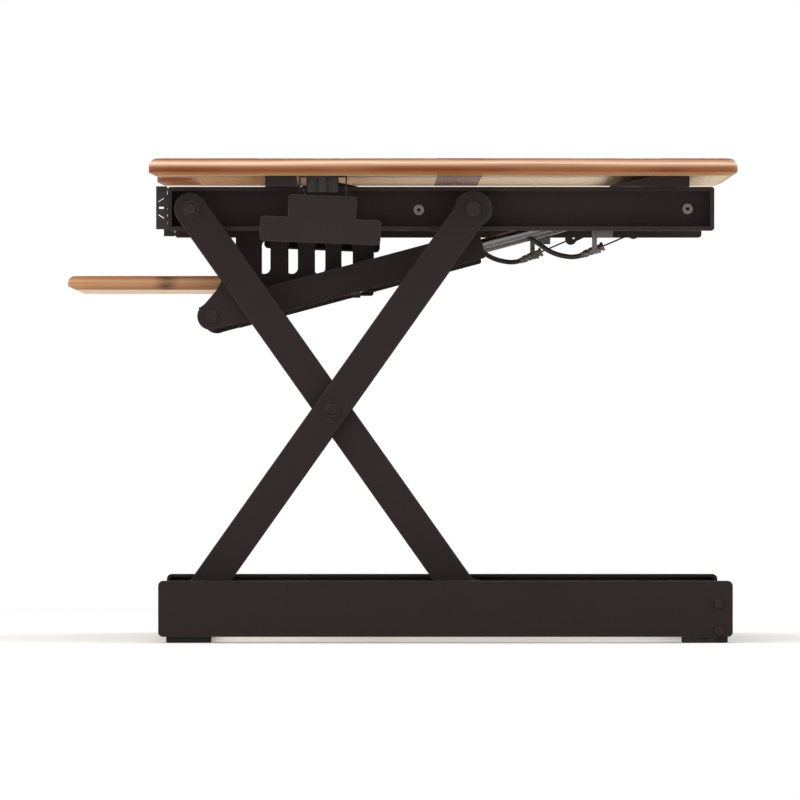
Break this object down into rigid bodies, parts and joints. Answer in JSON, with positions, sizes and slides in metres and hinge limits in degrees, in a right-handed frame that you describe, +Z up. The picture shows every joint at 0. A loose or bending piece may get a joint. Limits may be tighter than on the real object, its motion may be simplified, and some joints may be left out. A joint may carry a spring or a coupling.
{
  "type": "standing desk converter",
  "caption": "Desktop riser with a wooden top and a sliding keyboard tray on a folding scissor frame, held by gas struts and released by hand levers.",
  "frame": {"origin": "middle of the bounding box's base, on the surface it stands on", "axes": "+X along the width, +Y to the rear, +Z up"},
  "size_m": [0.95, 0.672, 0.485],
  "materials": {
    "laminated_wood": "laminated strips, satin",
    "black_paint": "powder coat",
    "dark_steel": "dark zinc",
    "bright_steel": "zinc",
    "black_plastic": "moulded",
    "black_rubber": "matte"
  },
  "bodies": {
    "base": {"base_rail_right": "black_paint", "base_rail_left": "black_paint", "base_rear_crossbar": "black_paint", "base_front_crossbar": "black_paint", "base_screws": "dark_steel", "rubber_feet": "black_rubber", "base_pivot_studs": "dark_steel"},
    "outer_legs": {"outer_leg_right": "black_paint", "outer_leg_left": "black_paint", "upper_roller_axles": "dark_steel", "crossing_pivot_bolts": "dark_steel"},
    "inner_legs": {"inner_leg_right": "black_paint", "inner_leg_left": "black_paint", "lower_roller_axles": "dark_steel", "crossing_washers": "dark_steel", "leg_cross_tube": "black_paint", "strut_bracket_right": "black_paint", "strut_bracket_left": "black_paint", "strut_front_pins": "dark_steel"},
    "upper_frame": {"desktop_board": "laminated_wood", "upper_rail_right": "black_paint", "upper_rail_left": "black_paint", "rail_front_caps": "black_plastic", "rear_cross_tube": "black_paint", "front_bridge_bar": "black_paint", "rear_bridge_bar": "black_paint", "desktop_screws": "dark_steel", "slide_rail_right": "bright_steel", "slide_rail_left": "bright_steel", "top_pivot_bolts": "dark_steel", "strut_rear_studs": "dark_steel", "rail_screws": "dark_steel", "lever_brackets": "black_paint", "lever_pins": "dark_steel", "lever_springs": "bright_steel", "cable_anchor_blocks": "black_plastic", "cable_stops": "bright_steel", "cable_sheath_right": "black_plastic", "cable_sheath_left": "black_plastic"},
    "keyboard_tray": {"keyboard_tray_board": "laminated_wood", "tray_bracket_right": "black_paint", "tray_bracket_left": "black_paint", "slide_runner_right": "bright_steel", "slide_runner_left": "bright_steel", "tray_screws": "dark_steel"},
    "upper_roller_right_body": {"upper_roller_right": "black_plastic"},
    "lower_roller_right_body": {"lower_roller_right": "black_plastic"},
    "gas_rod_right_body": {"gas_rod_right": "bright_steel"},
    "gas_tube_right_body": {"gas_tube_right": "black_paint", "strut_housing_right": "black_paint"},
    "hand_lever_right_body": {"hand_lever_right": "black_paint"},
    "release_link_right_body": {"release_link_right": "bright_steel"},
    "upper_roller_left_body": {"upper_roller_left": "black_plastic"},
    "lower_roller_left_body": {"lower_roller_left": "black_plastic"},
    "gas_rod_left_body": {"gas_rod_left": "bright_steel"},
    "gas_tube_left_body": {"gas_tube_left": "black_paint", "strut_housing_left": "black_paint"},
    "hand_lever_left_body": {"hand_lever_left": "black_paint"},
    "release_link_left_body": {"release_link_left": "bright_steel"}
  },
  "joints": [
    {"name": "scissor_fold", "type": "hinge", "parent": "base", "child": "outer_legs", "pos_m": [0, -0.212, 0.034], "axis": [-1, 0, 0], "range_deg": [0, 46]},
    {"name": "leg_crossing", "type": "hinge", "parent": "outer_legs", "child": "inner_legs", "pos_m": [0, -0.0702, 0.23425], "axis": [-1, 0, 0], "range_deg": [-92, 0]},
    {"name": "top_pivot", "type": "hinge", "parent": "inner_legs", "child": "upper_frame", "pos_m": [0, -0.212, 0.4345], "axis": [-1, 0, 0], "range_deg": [0, 46]},
    {"name": "tray_slide", "type": "slide", "parent": "upper_frame", "child": "keyboard_tray", "axis": [0, -1, 0], "range_m": [0, 0.12]},
    {"name": "strut_swing_right", "type": "hinge", "parent": "upper_frame", "child": "gas_rod_right_body", "pos_m": [0.3725, 0.245, 0.444], "axis": [-1, 0, 0], "range_deg": [0, 4.25]},
    {"name": "strut_stroke_right", "type": "slide", "parent": "gas_rod_right_body", "child": "gas_tube_right_body", "axis": [0, 0.9659, 0.2589], "range_m": [0, 0.07996]},
    {"name": "upper_roller_spin_right", "type": "hinge", "parent": "outer_legs", "child": "upper_roller_right_body", "pos_m": [0.397, 0.0716, 0.4345], "axis": [1, 0, 0], "continuous": true},
    {"name": "lower_roller_spin_right", "type": "hinge", "parent": "inner_legs", "child": "lower_roller_right_body", "pos_m": [0.451, 0.0716, 0.034], "axis": [1, 0, 0], "continuous": true},
    {"name": "hand_lever_right", "type": "hinge", "parent": "upper_frame", "child": "hand_lever_right_body", "pos_m": [0.451, -0.0795, 0.4416], "axis": [0, -1, 0], "range_deg": [0, 12], "stiffness_Nm_per_rad": 0.6},
    {"name": "release_pull_right", "type": "slide", "parent": "upper_frame", "child": "release_link_right_body", "axis": [0, -0.9191, -0.3939], "range_m": [0, 0.003]},
    {"name": "strut_swing_left", "type": "hinge", "parent": "upper_frame", "child": "gas_rod_left_body", "pos_m": [-0.3725, 0.245, 0.444], "axis": [-1, 0, 0], "range_deg": [0, 4.25]},
    {"name": "strut_stroke_left", "type": "slide", "parent": "gas_rod_left_body", "child": "gas_tube_left_body", "axis": [0, 0.9659, 0.2589], "range_m": [0, 0.07996]},
    {"name": "upper_roller_spin_left", "type": "hinge", "parent": "outer_legs", "child": "upper_roller_left_body", "pos_m": [-0.397, 0.0716, 0.4345], "axis": [1, 0, 0], "continuous": true},
    {"name": "lower_roller_spin_left", "type": "hinge", "parent": "inner_legs", "child": "lower_roller_left_body", "pos_m": [-0.451, 0.0716, 0.034], "axis": [1, 0, 0], "continuous": true},
    {"name": "hand_lever_left", "type": "hinge", "parent": "upper_frame", "child": "hand_lever_left_body", "pos_m": [-0.451, -0.0795, 0.4416], "axis": [0, 1, 0], "range_deg": [0, 12], "stiffness_Nm_per_rad": 0.6},
    {"name": "release_pull_left", "type": "slide", "parent": "upper_frame", "child": "release_link_left_body", "axis": [0, -0.9191, -0.3939], "range_m": [0, 0.003]}
  ],
  "couplings": [
    {"joint": "leg_crossing", "follows": "scissor_fold", "ratio": -2},
    {"joint": "top_pivot", "follows": "scissor_fold", "ratio": 1},
    {"joint": "strut_swing_right", "follows": "scissor_fold", "ratio": 0.092333},
    {"joint": "strut_stroke_right", "follows": "scissor_fold", "m_per_rad": 0.099571},
    {"joint": "release_pull_right", "follows": "hand_lever_right", "m_per_rad": 0.01431},
    {"joint": "strut_swing_left", "follows": "scissor_fold", "ratio": 0.092333},
    {"joint": "strut_stroke_left", "follows": "scissor_fold", "m_per_rad": 0.099571},
    {"joint": "release_pull_left", "follows": "hand_lever_left", "m_per_rad": 0.01431}
  ]
}
